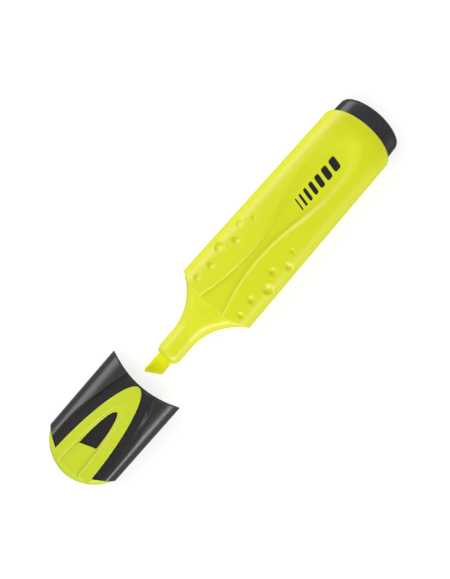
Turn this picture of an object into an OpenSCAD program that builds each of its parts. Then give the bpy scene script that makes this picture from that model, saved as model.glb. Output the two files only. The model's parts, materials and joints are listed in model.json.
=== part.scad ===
// Flat highlighter pen lying on its wide face, with its cap pulled off in line ahead of the nib.
// X runs along the pen, +X towards the end plug. Z is the thickness, +Z is the clip's face.
// Inside the modules X is measured from the barrel's front corners, and Z from mid-thickness.

/* [Barrel] */
// Half-width of the barrel at its front corners
barrel_front_half_w = 13.55; // [13.4:0.05:13.6]
// Half-width of the barrel at its rear corners
barrel_rear_half_w = 12.6; // [12.4:0.1:12.9]
// Distance from the front corners to the rear corners
barrel_side_len = 67.2; // [66:0.2:68]
// Half-thickness of the barrel and of the cap
half_t = 8.4; // [8.4:0.1:8.8]
// Radius of the long rounded edges
corner_r = 6.6; // [6:0.1:7]
// How far the curved rear edge bulges past the rear corners
rear_bulge = 4.6; // [4:0.1:5]
// How far the curved front edge reaches past the front corners
front_bulge = 3.1; // [2.8:0.1:3.3]

/* [Channel and dimples] */
// Depth of the hourglass channel in both wide faces
channel_depth = 1.2; // [0.8:0.1:1.3]
// Half-width of the hourglass channel at the front edge
channel_front = 5.1; // [4.8:0.1:5.4]
// Half-width of the channel at its waist
channel_waist = 1.8; // [1.5:0.1:2.2]
// Half-width of the channel at its widest
channel_bowl = 5.6; // [5:0.1:6]

/* [Nose and nib] */
// Radius of the nozzle that holds the nib
nozzle_r = 4.06; // [4:0.01:4.08]
// Distance from the front corners to the nozzle's end
nozzle_reach = 23.9; // [23:0.1:24.2]
// Width of the nib
nib_w = 5.3; // [5:0.1:5.5]
// Thickness of the nib
nib_t = 3.9; // [3.5:0.1:4.2]
// How far the long corner of the writing edge stands ahead of the front corners
nib_reach = 31.6; // [31:0.1:31.7]
// How far back the short corner of the writing edge sits
nib_slant = 2.7; // [2:0.1:3.5]

/* [Cap] */
// Half-width of the cap at its mouth
cap_mouth_half_w = 13.7; // [13.6:0.05:13.8]
// Half-width of the cap at its closed end
cap_end_half_w = 13.4; // [13.2:0.05:13.5]
// Length of the cap from its mouth corners to the end of the dome
cap_len = 39; // [38.8:0.1:40]
// Travel between the cap as it lies and the cap pushed home
cap_travel = 32.9; // [32:0.1:34]
// Gap left at the mouth when the cap is home
home_gap = 0.1; // [0.05:0.05:0.3]
// Thickness of the clip
clip_t = 1.6; // [1.4:0.1:1.8]
// Air gap under the clip
clip_gap = 0.5; // [0.4:0.1:0.8]

/* [End plug] */
// How far the end plug stands past the middle of the barrel's rear edge
plug_reach = 5.3; // [5:0.1:5.6]
// Half-width of the end plug's face
plug_half_w = 11.4; // [11.2:0.1:11.5]

/* [Hidden] */
$fn = 96;

barrel_yellow = [0.84, 0.88, 0.14];
cap_yellow = [0.79, 0.86, 0.18];
pen_black = [0.2, 0.19, 0.2];

// Grip dimples on each side of the channel: [x, y, radius]
dimples = [[27, 8.0, 0.8], [22.6, 10.4, 1.15], [18.2, 7.7, 1.25],
    [13, 10.2, 1.55], [7.2, 8.4, 1.2], [1.35, 9.05, 0.95]];

big = 40;                       // larger than any half-size, for cutting blocks
margin = 3;                     // spare length at each end of a tapered bar
wall = 1.5;                     // side wall of the barrel
cavity_half_t = 6.2;            // half-height of the barrel's inside
cavity_r = 4.9;
rear_x = barrel_side_len + rear_bulge;
rear_r = (pow(barrel_rear_half_w, 2) + pow(rear_bulge, 2)) / (2 * rear_bulge);
front_r = (pow(barrel_front_half_w, 2) + pow(front_bulge, 2)) / (2 * front_bulge);
rear_drop_x = 56;               // the wide faces start to curve in here
rear_drop_r = 139;

step = 1.35;                    // the nose stands this far inside the barrel's sides
nose_half_t = 5.95;
nose_r = 4.5;
flare_r = 19;                   // radius of the concave flare from nozzle to barrel
flare_x = -16.5;                // the flare starts here
nozzle_chamfer = 0.8;
nozzle_chamfer_len = 1.9;

res_half_w = 10.9;              // the ink reservoir, a straight rounded block
res_half_t = 6.05;
res_r = 4.7;
res_x0 = 3;
res_len = 54;
film_t = 0.2;
nib_tail_x = 9;                 // the nib's tail ends here, inside the reservoir
nib_slot_clear = 0.05;
nib_edge_t = 1.2;               // thickness of the writing edge
nib_bevel_len = 4.6;

cap_x = -cap_travel - home_gap; // the cap's mouth corners as it lies
cap_inner_half_w = 12.5;
cap_inner_half_t = 6.3;
cap_inner_r = 4.8;
shell_side_len = 30.4;          // the black shell's straight side
shell_len = 34.4;               // the black shell's whole length
shell_corner = [32.4, 11];
shell_end_half_w = 7.7;
dome_r = 14.2;                  // plan radius of the yellow end
dome_edge_r = 3.2;
dome_plug_x = -30.8;            // the part of the yellow end that fills the shell stops here

clip_tip = 3.25;
clip_root = 34.3;
clip_half_w = 7.3;
clip_power = 1.73;
window_tip = 13.7;
window_base = 27.4;
window_half_w = 2.65;
window_slant = 1;               // the window's base edge leans by this much each way
window_off = 0.3;
hinge_gap = 0.3;
pad_end = 36.3;
cap_channel_len = 28;
cap_channel_mouth = 5.5;
cap_channel_wide = 10.15;
back_channel_len = 26;

liner_bore_r = 4.12;
liner_r = 5.3;
liner_mouth = 16.3;
liner_end = 33.6;
liner_floor = 1;

plug_end_x = rear_x + plug_reach;
plug_side_x = 72.9;             // the plug's side corners
plug_side_half_w = 10.9;
plug_bulge = plug_end_x - plug_side_x;
plug_r = (pow(plug_side_half_w, 2) + pow(plug_bulge, 2)) / (2 * plug_bulge);
plug_half_t = 6.9;
plug_edge_r = 5;
skirt_x = 59;
skirt_half_w = 11;
skirt_wall = 1.1;
skirt_clear = 0.1;
bead_r = 0.35;
bead_len = 12;

length_mid = (plug_end_x + cap_x - cap_len) / 2;

// Half-width of the barrel at x
function barrel_half_w(x) =
    barrel_front_half_w - (barrel_front_half_w - barrel_rear_half_w) * x / barrel_side_len;

// Half-width of the hourglass channel: it narrows to a waist, swells to a bowl and closes in a round end
waist_x = 17.7;
bowl_x = 49;
channel_x0 = -4;
channel_x1 = 64;
function channel_half_w(x) =
    x < waist_x
        ? channel_waist + (channel_front - channel_waist)
            * pow((waist_x - x) / (waist_x + front_bulge), 1.9)
    : x < bowl_x
        ? channel_waist + (channel_bowl - channel_waist)
            * pow(sin(90 * (x - waist_x) / (bowl_x - waist_x)), 2.3)
        : channel_bowl * sqrt(1 - pow((x - bowl_x) / (channel_x1 - bowl_x), 2.4));

// Half-width of the clip and of its window, t being the distance from the cap's mouth
function clip_edge(t) = clip_half_w * sqrt(1 - pow((clip_root - t) / (clip_root - clip_tip), clip_power));
function window_edge(t) =
    window_half_w * sqrt(1 - pow((window_base - t) / (window_base - window_tip), clip_power));

// Half-width of the cap's channel under the clip, and of the channel on the cap's plain face
function cap_channel_half_w(t) =
    t < cap_channel_len
        ? cap_channel_mouth + (cap_channel_wide - cap_channel_mouth)
            * (1 - pow(1 - t / cap_channel_len, 1.6))
        : cap_channel_wide;
function back_channel_half_w(t) =
    t < 0 ? cap_channel_mouth : cap_channel_mouth * sqrt(1 - pow(t / back_channel_len, 2.2));

// The outline whose half-width is given at each x
function both_sides(xs, ws) = concat(
    [for (i = [0 : len(xs) - 1]) [xs[i], ws[i]]],
    [for (i = [len(xs) - 1 : -1 : 0]) if (ws[i] > 0.001) [xs[i], -ws[i]]]);

// Section of a slab whose +Y edge is rounded
module edge_section(half_w, half_h, r) {
    translate([-big, -half_h]) square([big + half_w - r, 2 * half_h]);
    translate([-big, r - half_h]) square([big + half_w, 2 * (half_h - r)]);
    for (side = [-1, 1]) translate([half_w - r, side * (half_h - r)]) circle(r = r);
}

// That slab along X, with its rounded edge leaning inwards by the taper
module edge_slab(x0, len, half_w, taper, half_h, r) {
    translate([x0, half_w, 0]) rotate([0, 0, -taper]) translate([-margin, -half_w, 0])
        rotate([90, 0, 90]) linear_extrude(height = len + 2 * margin) edge_section(half_w, half_h, r);
}

// A bar along X with rounded long edges, from half_w0 wide at x0 to half_w1 wide at x1
module bar(x0, x1, half_w0, half_w1, half_h, r) {
    taper = atan((half_w0 - half_w1) / (x1 - x0));
    intersection() {
        translate([x0, -big, -big]) cube([x1 - x0, 2 * big, 2 * big]);
        edge_slab(x0, x1 - x0, half_w0, taper, half_h, r);
        mirror([0, 1, 0]) edge_slab(x0, x1 - x0, half_w0, taper, half_h, r);
    }
}

// Everything on the +X side of a round edge that bulges towards -X
module behind_front_arc() {
    translate([front_r - front_bulge, 0, -big]) cylinder(r = front_r, h = 2 * big);
    translate([front_r - front_bulge, -big, -big]) cube([3 * big, 2 * big, 2 * big]);
}

// Everything on the -X side of a round edge that ends at x
module ahead_of_arc(x, r) {
    translate([x - r, 0, -big]) cylinder(r = r, h = 2 * big);
    translate([x - r - 3 * big, -big, -big]) cube([3 * big, 2 * big, 2 * big]);
}

// Lets the wide faces curve in towards the rear edge
module thickness_envelope() {
    translate([rear_drop_x - 4 * big, -big, -big]) cube([4 * big, 2 * big, 2 * big]);
    intersection() {
        face_roll(1);
        face_roll(-1);
    }
}

// The side 1 or -1 wide face, continued as a large cylinder past rear_drop_x
module face_roll(side) {
    translate([rear_drop_x, big, side * (half_t - rear_drop_r)]) rotate([90, 0, 0])
        cylinder(r = rear_drop_r, h = 2 * big, $fn = 360);
}

// The concave flare from the nozzle to the barrel, turned about X and taken in by inset
module flare(inset) {
    intersection() {
        rotate([0, 90, 0]) translate([0, 0, flare_x]) rotate_extrude() difference() {
            square([barrel_front_half_w - inset, 1 - flare_x]);
            translate([nozzle_r + flare_r - inset, 0]) circle(r = flare_r);
        }
        bar(flare_x, 1, barrel_front_half_w - step - inset, barrel_front_half_w - step - inset,
            nose_half_t - inset, nose_r - inset);
    }
}

// Round nozzle that the nib stands out of, with a chamfered end
module nozzle() {
    rotate([0, 90, 0]) {
        translate([0, 0, nozzle_chamfer_len - nozzle_reach]) cylinder(r = nozzle_r, h = 12);
        translate([0, 0, -nozzle_reach])
            cylinder(r1 = nozzle_r - nozzle_chamfer, r2 = nozzle_r, h = nozzle_chamfer_len);
    }
}

// Cuts the hourglass channel into the side 1 or -1 wide face
module channel_cut(side) {
    xs = [for (x = [channel_x0 : 2 : channel_x1]) x];
    floor_z = half_t - channel_depth;
    translate([0, 0, side > 0 ? floor_z : -floor_z - big]) linear_extrude(height = big)
        polygon(both_sides(xs, [for (x = xs) channel_half_w(x)]));
}

// A ball that cuts a shallow round dimple into the rounded edge
module dimple_ball(x, y, r) {
    flat_half_w = barrel_half_w(x) - corner_r;
    lean = y > flat_half_w ? asin((y - flat_half_w) / corner_r) : 0;
    ball_r = 1.6 * r;
    lift = sqrt(ball_r * ball_r - r * r);
    translate([x, y + lift * sin(lean), half_t - corner_r + (corner_r + lift) * cos(lean)])
        rotate([90, 0, 0]) sphere(r = ball_r);
}

// All the grip dimples: both sides of the channel on both wide faces
module dimple_cuts() {
    for (d = dimples)
        for (flip_y = [0, 1])
            for (flip_z = [0, 1])
                mirror([0, flip_y, 0]) mirror([0, 0, flip_z]) dimple_ball(d[0], d[1], d[2]);
}

// Outside of the barrel behind the shoulders, between its two curved edges
module barrel_outside() {
    intersection() {
        bar(-front_bulge - 1, rear_x + 1, barrel_half_w(-front_bulge - 1), barrel_half_w(rear_x + 1),
            half_t, corner_r);
        behind_front_arc();
        ahead_of_arc(rear_x, rear_r);
        thickness_envelope();
    }
}

// Barrel, shoulder, nose and nozzle are one hollow moulding, open at the rear
module barrel() {
    color(barrel_yellow) difference() {
        union() {
            barrel_outside();
            flare(0);
            nozzle();
        }
        bar(0.5, rear_x + 2, barrel_half_w(0.5) - wall, barrel_half_w(rear_x + 2) - wall,
            cavity_half_t, cavity_r);
        flare(wall);
        translate([-nozzle_reach - 1, -nib_w / 2 - nib_slot_clear, -nib_t / 2 - nib_slot_clear])
            cube([nozzle_reach, nib_w + 2 * nib_slot_clear, nib_t + 2 * nib_slot_clear]);
        channel_cut(1);
        channel_cut(-1);
        dimple_cuts();
    }
}

// Black plug: a face that closes the rear of the barrel, and a hollow skirt with a snap bead inside it
module end_plug() {
    color(pen_black) {
        difference() {
            intersection() {
                bar(barrel_side_len - 1, plug_end_x, plug_half_w, plug_side_half_w,
                    plug_half_t, plug_edge_r);
                ahead_of_arc(plug_end_x, plug_r);
            }
            ahead_of_arc(rear_x, rear_r);
        }
        difference() {
            union() {
                intersection() {
                    bar(skirt_x, rear_x + 1, skirt_half_w, skirt_half_w,
                        cavity_half_t - skirt_clear, cavity_r - skirt_clear);
                    ahead_of_arc(rear_x + 0.5, rear_r);
                }
                for (side = [-1, 1])
                    translate([skirt_x + 2, bead_len / 2, side * (cavity_half_t - bead_r)])
                        rotate([90, 0, 0]) cylinder(r = bead_r, h = bead_len);
            }
            bar(skirt_x - 1, rear_x - 6, skirt_half_w - skirt_wall, skirt_half_w - skirt_wall,
                cavity_half_t - skirt_clear - skirt_wall, cavity_r - skirt_wall);
        }
    }
}

// Ink reservoir: a block of fibre with a slot for the nib's tail
module reservoir_fibre() {
    color([0.93, 0.93, 0.5]) difference() {
        bar(res_x0, res_x0 + res_len, res_half_w - film_t, res_half_w - film_t,
            res_half_t - film_t, res_r - film_t);
        translate([res_x0 - 1, -nib_w / 2, -nib_t / 2]) cube([nib_tail_x - res_x0 + 1, nib_w, nib_t]);
    }
}

// Thin film wrapped round the reservoir, open at both ends
module reservoir_film() {
    color([0.9, 0.92, 0.85]) difference() {
        bar(res_x0, res_x0 + res_len, res_half_w, res_half_w, res_half_t, res_r);
        bar(res_x0 - 1, res_x0 + res_len + 1, res_half_w - film_t, res_half_w - film_t,
            res_half_t - film_t, res_r - film_t);
    }
}

// Chisel nib: a felt bar with a slanted writing edge, bevelled on both faces
module nib() {
    long_x = -nib_reach;
    short_x = long_x + nib_slant;
    color([0.92, 0.93, 0.1]) intersection() {
        translate([0, 0, -nib_t / 2]) linear_extrude(height = nib_t) polygon([
            [long_x, nib_w / 2 - 0.55], [long_x + 1.1, nib_w / 2], [nib_tail_x, nib_w / 2],
            [nib_tail_x, -nib_w / 2], [short_x + 0.7, -nib_w / 2], [short_x, 0.25 - nib_w / 2]]);
        translate([0, big, 0]) rotate([90, 0, 0]) linear_extrude(height = 2 * big) polygon([
            [long_x - 0.1, -nib_edge_t / 2], [long_x + nib_bevel_len, -nib_t / 2],
            [nib_tail_x + 1, -nib_t / 2], [nib_tail_x + 1, nib_t / 2],
            [long_x + nib_bevel_len, nib_t / 2], [long_x - 0.1, nib_edge_t / 2]]);
    }
}

// Plan of the black shell, drawn from its mouth (x = 0) to its bevelled closed end
module shell_plan() {
    polygon([[big, -big], [big, big], [-shell_side_len, big], [-shell_side_len, cap_end_half_w],
        [-shell_corner[0], shell_corner[1]], [-shell_len, shell_end_half_w],
        [-shell_len, -shell_end_half_w], [-shell_corner[0], -shell_corner[1]],
        [-shell_side_len, -cap_end_half_w], [-shell_side_len, -big]]);
}

// Outside of the whole cap before its ends are shaped
module cap_outside() {
    bar(-cap_len, 2, cap_end_half_w, cap_mouth_half_w + 0.02, half_t, corner_r);
}

// The space inside the cap
module cap_cavity(x0, x1) {
    bar(x0, x1, cap_inner_half_w, cap_inner_half_w, cap_inner_half_t, cap_inner_r);
}

// The clip's channel in the upper face, and the shorter channel in the plain face
module cap_channel_cuts() {
    ts = [for (t = [-2 : 2 : 36]) t];
    back_ts = [for (t = [-2 : 2 : back_channel_len]) t];
    floor_z = half_t - channel_depth;
    translate([0, 0, floor_z]) linear_extrude(height = big)
        polygon(both_sides([for (t = ts) -t], [for (t = ts) cap_channel_half_w(t)]));
    translate([0, 0, -floor_z - big]) linear_extrude(height = big)
        polygon(both_sides([for (t = back_ts) -t], [for (t = back_ts) back_channel_half_w(t)]));
}

// Black sleeve of the cap, with a curved mouth that meets the barrel's curved front edge
module cap_shell() {
    color(pen_black) translate([cap_x, 0, 0]) difference() {
        intersection() {
            cap_outside();
            translate([0, 0, -big]) linear_extrude(height = 2 * big) shell_plan();
        }
        cap_cavity(-cap_len - 1, big / 4);
        behind_front_arc();
        cap_channel_cuts();
    }
}

// The yellow end from the side: a flat stop with both edges rounded
module dome_side() {
    round_z = half_t - dome_edge_r;
    translate([dome_edge_r - cap_len, -half_t]) square([big, 2 * half_t]);
    translate([-cap_len, -round_z]) square([big, 2 * round_z]);
    for (side = [-1, 1]) translate([dome_edge_r - cap_len, side * round_z]) circle(r = dome_edge_r);
}

// Yellow domed end, with a block that fills the closed end of the shell and a raised root for the clip
module cap_end() {
    clip_top = half_t - channel_depth + clip_gap + clip_t;
    color(cap_yellow) translate([cap_x, 0, 0]) difference() {
        union() {
            difference() {
                intersection() {
                    cap_outside();
                    translate([dome_r - cap_len, 0, -big]) cylinder(r = dome_r, h = 2 * big);
                    translate([0, big, 0]) rotate([90, 0, 0]) linear_extrude(height = 2 * big)
                        dome_side();
                }
                translate([0, 0, -big]) linear_extrude(height = 2 * big) shell_plan();
            }
            cap_cavity(-shell_len - 0.5, dome_plug_x);
            translate([-pad_end, -clip_half_w, half_t - 2])
                cube([pad_end - clip_root - hinge_gap, 2 * clip_half_w, clip_top - half_t + 2]);
        }
        rotate([0, 90, 0]) translate([0, 0, -liner_end]) cylinder(r = liner_r, h = big);
    }
}

// Soft inner cup that seals over the nozzle when the cap is home
module cap_liner() {
    color([0.93, 0.93, 0.9]) translate([cap_x, 0, 0]) rotate([0, 90, 0]) difference() {
        translate([0, 0, -liner_end]) cylinder(r = liner_r, h = liner_end - liner_mouth);
        translate([0, 0, liner_floor - liner_end]) cylinder(r = liner_bore_r, h = big);
    }
}

// Yellow clip: a long rounded loop with a window, sprung at its root
module clip() {
    ts = concat([for (k = [0 : 15]) clip_tip + (clip_root - clip_tip) * pow(k / 16, 2)], [clip_root]);
    window_ts = [for (k = [0 : 10]) window_tip + (window_base - window_tip) * pow(k / 10, 2)];
    last = len(window_ts) - 1;
    function lean(i, side) = i == last ? side * window_slant : 0;
    window_top = [for (i = [0 : last])
        [-window_ts[i] - lean(i, 1), window_off + window_edge(window_ts[i])]];
    window_low = [for (i = [last : -1 : 1])
        [-window_ts[i] - lean(i, -1), window_off - window_edge(window_ts[i])]];
    color(cap_yellow) translate([cap_x, 0, half_t - channel_depth + clip_gap])
        linear_extrude(height = clip_t) difference() {
            polygon(both_sides([for (t = ts) -t], [for (t = ts) clip_edge(t)]));
            polygon(concat(window_top, window_low));
        }
}

// Puts a piece in the shared frame: middle of the length at X = 0, underside at Z = 0
module in_row_frame() {
    translate([-length_mid, 0, half_t]) children();
}

in_row_frame() barrel();
in_row_frame() end_plug();
in_row_frame() reservoir_fibre();
in_row_frame() reservoir_film();
in_row_frame() nib();
in_row_frame() cap_shell();
in_row_frame() cap_end();
in_row_frame() cap_liner();
in_row_frame() clip();
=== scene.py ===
# %% [markdown]
# # A flat highlighter with its cap pulled off
#
# The pen lies on its wide face. Its packed model gives the places and sizes of every part, and this
# script builds the visible skins around it: the yellow barrel with its waisted channel and grip
# dimples, the chisel nib, the black plug, the black cap sleeve and the yellow clip and dome.
#
# The skins could be pushed into shape by hand on subdivided cages, but then nothing would hold them
# to the packed sizes. Instead every skin is a *loft*: a list of closed sections strung along the
# pen, worked out with numpy and joined with quads. That suits moulded plastic, whose shape is a
# section that changes smoothly.

import json
import math

import bmesh
import bpy
import numpy as np
from mathutils import Matrix, Vector


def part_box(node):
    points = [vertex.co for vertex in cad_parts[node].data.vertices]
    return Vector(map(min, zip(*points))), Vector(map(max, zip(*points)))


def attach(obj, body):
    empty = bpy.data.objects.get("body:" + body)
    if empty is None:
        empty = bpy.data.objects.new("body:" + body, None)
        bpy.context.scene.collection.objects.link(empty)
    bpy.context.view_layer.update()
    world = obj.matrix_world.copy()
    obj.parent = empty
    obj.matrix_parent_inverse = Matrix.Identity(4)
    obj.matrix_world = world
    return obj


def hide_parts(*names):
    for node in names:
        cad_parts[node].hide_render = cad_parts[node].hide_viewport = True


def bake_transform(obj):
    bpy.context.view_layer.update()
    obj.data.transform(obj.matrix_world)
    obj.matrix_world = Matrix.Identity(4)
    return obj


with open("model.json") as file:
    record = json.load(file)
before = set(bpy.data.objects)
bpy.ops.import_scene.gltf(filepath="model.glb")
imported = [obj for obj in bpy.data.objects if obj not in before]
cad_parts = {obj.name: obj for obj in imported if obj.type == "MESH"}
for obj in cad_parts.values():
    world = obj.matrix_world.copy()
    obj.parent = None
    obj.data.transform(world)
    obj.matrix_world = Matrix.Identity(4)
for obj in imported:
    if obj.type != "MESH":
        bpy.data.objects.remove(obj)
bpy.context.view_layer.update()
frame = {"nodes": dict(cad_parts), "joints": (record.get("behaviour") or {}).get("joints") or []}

# %% [markdown]
# ## Where things are
#
# The packed model lies around the middle of the whole row, which is no landmark of the pen itself.
# Every shape could be written from there, but its numbers would say nothing. So the barrel's shapes
# are written in millimetres from the plane of its front corners, at mid-width and mid-thickness,
# and the cap's shapes from its own mouth corners. The barrel's box gives the first point, and the
# travel of the cap's joint gives the second.

# %% Reference points
MM = 0.001
NOZZLE_REACH = 23.9          # from the nozzle's mouth back to the front corners
HOME_GAP = 0.1               # left at the mouth when the cap is home

barrel_low, barrel_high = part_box("barrel")
cap_travel = next(j for j in frame["joints"] if j["name"] == "cap_slide")["range_m"][1] / MM
PEN = np.array([barrel_low.x + NOZZLE_REACH * MM, 0.0, (barrel_low.z + barrel_high.z) / 2])
CAP = PEN - np.array([(cap_travel + HOME_GAP) * MM, 0.0, 0.0])
HALF_T = (barrel_high.z - barrel_low.z) / 2 / MM
print("front corners at x =", round(PEN[0] / MM, 2), "mm; cap's mouth at x =", round(CAP[0] / MM, 2), "mm")

# %% [markdown]
# ## Making a mesh from sections
#
# The pen's sections run from a circle at the nozzle to a soft rounded rectangle at the barrel. They
# could be drawn point by point, but one formula covers them all: the superellipse
# |y/a|^n + |z/b|^n = 1, which is an ellipse at n = 2 and a rounded rectangle near n = 3. One quarter
# of it is worked out, then mirrored. Its points are spread by an angle, and two *knots* pull chosen
# grid lines onto a moulded edge, so that a crease runs along the mesh and stays crisp.

# %% Section helpers
QUARTER = 56
KNOT_LOW, KNOT_HIGH = 0.30, 0.46
SPREAD = np.linspace(0, 1, QUARTER + 1)
TINY = 1e-6                  # an end shrinks to this share and not to 0, where no angle is defined


def column(values):
    """Values as a column, one for each section, so that they combine with a row of points."""
    return np.atleast_1d(np.asarray(values, float))[:, None]


def smooth(x, low, high):
    """0 below low, 1 above high, and 3t^2 - 2t^3 between them."""
    t = np.clip((x - low) / (high - low), 0, 1)
    return t * t * (3 - 2 * t)


def edge_angle(y, a, n):
    """The angle from the top of the superellipse to the point at y: tan(angle) = (y/a) / (z/b)."""
    f = np.clip(y / a, 0, 0.999)
    return np.arctan2(f, (1 - f ** n) ** (1 / n))


def quarter(a, b, n, y_low=None, y_high=None):
    """A quarter of |y/a|^n + |z/b|^n = 1 from its top to its side, one row of points a section.

    In the direction (sin t, cos t) the unit superellipse is at r = (sin^n t + cos^n t)^(-1/n).
    The grid lines at KNOT_LOW and KNOT_HIGH are placed at y_low and y_high."""
    a, b, n = column(a), column(b), column(n)
    low = edge_angle(0.42 * a if y_low is None else column(y_low), a, n)
    high = edge_angle(0.5 * a if y_high is None else column(y_high), a, n)
    s = SPREAD[None, :]
    t = np.where(s < KNOT_LOW, low * s / KNOT_LOW,
                 np.where(s < KNOT_HIGH, low + (high - low) * (s - KNOT_LOW) / (KNOT_HIGH - KNOT_LOW),
                          high + (math.pi / 2 - high) * (s - KNOT_HIGH) / (1 - KNOT_HIGH)))
    r = (np.abs(np.sin(t)) ** n + np.abs(np.cos(t)) ** n) ** (-1 / n)
    y, z = a * r * np.sin(t), b * r * np.cos(t)
    y[:, 0] = 0
    z[:, -1] = 0
    return y, z


def ring(y, z):
    """Mirrors quarter sections into whole rings: top, +Y side, underside, -Y side."""
    whole_y = np.concatenate([y[:, :-1], y[:, :0:-1], -y[:, :-1], -y[:, :0:-1]], axis=1)
    whole_z = np.concatenate([z[:, :-1], -z[:, :0:-1], -z[:, :-1], z[:, :0:-1]], axis=1)
    return whole_y, whole_z


def normals_of(y, z, a, b, n):
    """Outward unit normals of superellipse rings, from the gradient of |y/a|^n + |z/b|^n."""
    a, b, n = column(a), column(b), column(n)
    gy = np.sign(y) * np.abs(y / a) ** (n - 1) / a
    gz = np.sign(z) * np.abs(z / b) ** (n - 1) / b
    size = np.maximum(np.hypot(gy, gz), 1e-9)
    return gy / size, gz / size


circle_y, circle_z = quarter([1.0], [1.0], [2.0])
print("a quarter circle of", circle_y.size, "points is off by",
      float(np.abs(np.hypot(circle_y, circle_z) - 1).max()))

# %% [markdown]
# ## From sections to a piece
#
# A moulding has one unbroken surface. It could be built from a plane with modifiers, but sections
# that are already in order only need quads between them. Doubles are merged where a grid gathers to
# a point, and the print says whether any edge was left open.

# %% Mesh helper
MERGE_WITHIN = 2e-7          # metres


def skin(name, grid, origin, close_rows=False, crease=38, wear=None):
    """Joins a grid of points (sections x points round x 3, in mm from origin) with quads.

    The sections are closed rings. With close_rows the last section joins the first, as on a hollow
    shell; without it the end sections have to shrink to a line or a point. Doubles are merged, faces
    are turned outwards, and edges sharper than crease degrees stay sharp."""
    rows, cols = grid.shape[:2]
    points = grid.reshape(-1, 3) * MM + origin
    i = np.arange(rows if close_rows else rows - 1)[:, None]
    j = np.arange(cols)[None, :]
    i2, j2 = (i + 1) % rows, (j + 1) % cols
    quads = np.stack([i * cols + j, i * cols + j2, i2 * cols + j2, i2 * cols + j], axis=-1).reshape(-1, 4)
    mesh = bpy.data.meshes.new(name)
    mesh.from_pydata(points, [], quads)
    if wear is not None:
        mark = mesh.attributes.new("wear", "FLOAT", "POINT")
        mark.data.foreach_set("value", np.broadcast_to(wear, (rows, cols)).astype(np.float32).ravel())
    work = bmesh.new()
    work.from_mesh(mesh)
    bmesh.ops.remove_doubles(work, verts=work.verts, dist=MERGE_WITHIN)
    bmesh.ops.dissolve_degenerate(work, edges=work.edges, dist=1e-8)
    if work.calc_volume(signed=True) < 0:
        bmesh.ops.reverse_faces(work, faces=work.faces)
    open_edges = sum(not e.is_manifold for e in work.edges)
    work.to_mesh(mesh)
    work.free()
    mesh.shade_smooth()
    mesh.set_sharp_from_angle(angle=math.radians(crease))
    piece = bpy.data.objects.new(name, mesh)
    bpy.context.scene.collection.objects.link(piece)
    size = [round((c[1] - c[0]) / MM, 2) for c in zip(points.min(0), points.max(0))]
    print(f"{name}: {len(mesh.polygons)} faces, {open_edges} open edges, {size} mm")
    return piece


def sheet_of(x, y, z):
    """Puts three arrays of one shape together as a grid of points."""
    return np.stack(np.broadcast_arrays(x, y, z), axis=-1)


def closed_start(grid):
    """Adds a row that gathers at the first section's middle, which closes that end."""
    middle = grid[:1].mean(axis=1, keepdims=True)
    return np.concatenate([np.broadcast_to(middle, grid[:1].shape), grid])


def stack(*parts):
    """Strings grids of sections together, one after another."""
    return tuple(np.concatenate(arrays, axis=0) for arrays in zip(*parts))


def flat_rings(x, a, b, n):
    """Plane sections at the given x with half-sizes a and b."""
    y, z = ring(*quarter(a, b, n))
    return column(x) + 0 * y, y, z


print("each section has", 4 * QUARTER, "points, merged within", MERGE_WITHIN * 1e6, "micrometres")

# %% [markdown]
# ## The camera
#
# The pen is seen from straight above, as a flat-lay product view is. An orthographic camera would
# do, but a long lens from a metre and a half is what a real one would be, and it leaves almost no
# perspective. The pen runs from lower left to upper right. The focal length comes from how much of
# the table the view holds.

# %% Camera
VIEW_MM = 180.9              # height of table in view, at the pen's mid-thickness
CAMERA_HEIGHT = 1.5
SENSOR = 36.0
LEAN = math.atan2(0.754, 0.657)   # the pen's direction in view, above the horizontal
AIM = np.array([4.2, 0.0, 0.0])   # the point in the middle of the view

camera_data = bpy.data.cameras.new("camera")
camera_data.sensor_width = SENSOR
camera_data.lens = SENSOR * CAMERA_HEIGHT / (VIEW_MM * MM)
camera = bpy.data.objects.new("camera", camera_data)
bpy.context.scene.collection.objects.link(camera)
right = Vector((math.cos(LEAN), -math.sin(LEAN), 0))
up = Vector((math.sin(LEAN), math.cos(LEAN), 0))
back = Vector((0, 0, 1))
camera.matrix_world = Matrix.Translation(Vector(PEN + AIM * MM) + back * CAMERA_HEIGHT) @ Matrix(
    (right, up, back)).transposed().to_4x4()
bpy.context.scene.camera = camera
print("lens", round(camera_data.lens, 1), "mm")

# %% [markdown]
# ## The barrel's proportions
#
# The barrel is one yellow moulding that the hand holds. It tapers slightly towards the rear, and both
# its ends are curved when seen from above: the front edge is an arc of a circle that the cap's mouth
# fits, and the rear edge is half an ellipse. Near the rear the wide faces roll down to the plug. Its
# outline could be cut with booleans, but as formulas the same curves also place the cap and plug.

# %% Barrel proportions
FRONT_HALF_W, REAR_HALF_W, SIDE_LEN = 13.55, 12.6, 67.2
FRONT_BULGE, FRONT_R = 3.1, 31.1
REAR_X, REAR_DEPTH, REAR_SPAN = 71.8, 5.9, 12.8
BODY_N = 3.2
DROP_X, DROP = 60, 0.0088


def half_w(x):
    """Half-width of the barrel: a straight taper from the front corners to the rear corners."""
    return FRONT_HALF_W + (REAR_HALF_W - FRONT_HALF_W) * x / SIDE_LEN


def half_thick(x):
    """Half-thickness: constant, then falling with the square of the distance past DROP_X."""
    return HALF_T - DROP * np.clip(x - DROP_X, 0, None) ** 2


def front_arc(y):
    """The front edge from above, a circle through the corners that reaches FRONT_BULGE ahead of them."""
    return FRONT_R - FRONT_BULGE - np.sqrt(FRONT_R ** 2 - y ** 2)


def rear_arc(y):
    """The rear edge from above, half an ellipse."""
    return REAR_X - REAR_DEPTH * (1 - np.sqrt(np.clip(1 - (y / REAR_SPAN) ** 2, 0, 1)))


print("half-width at the front and rear corners:", FRONT_HALF_W, round(float(half_w(SIDE_LEN)), 2), "mm")

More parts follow.
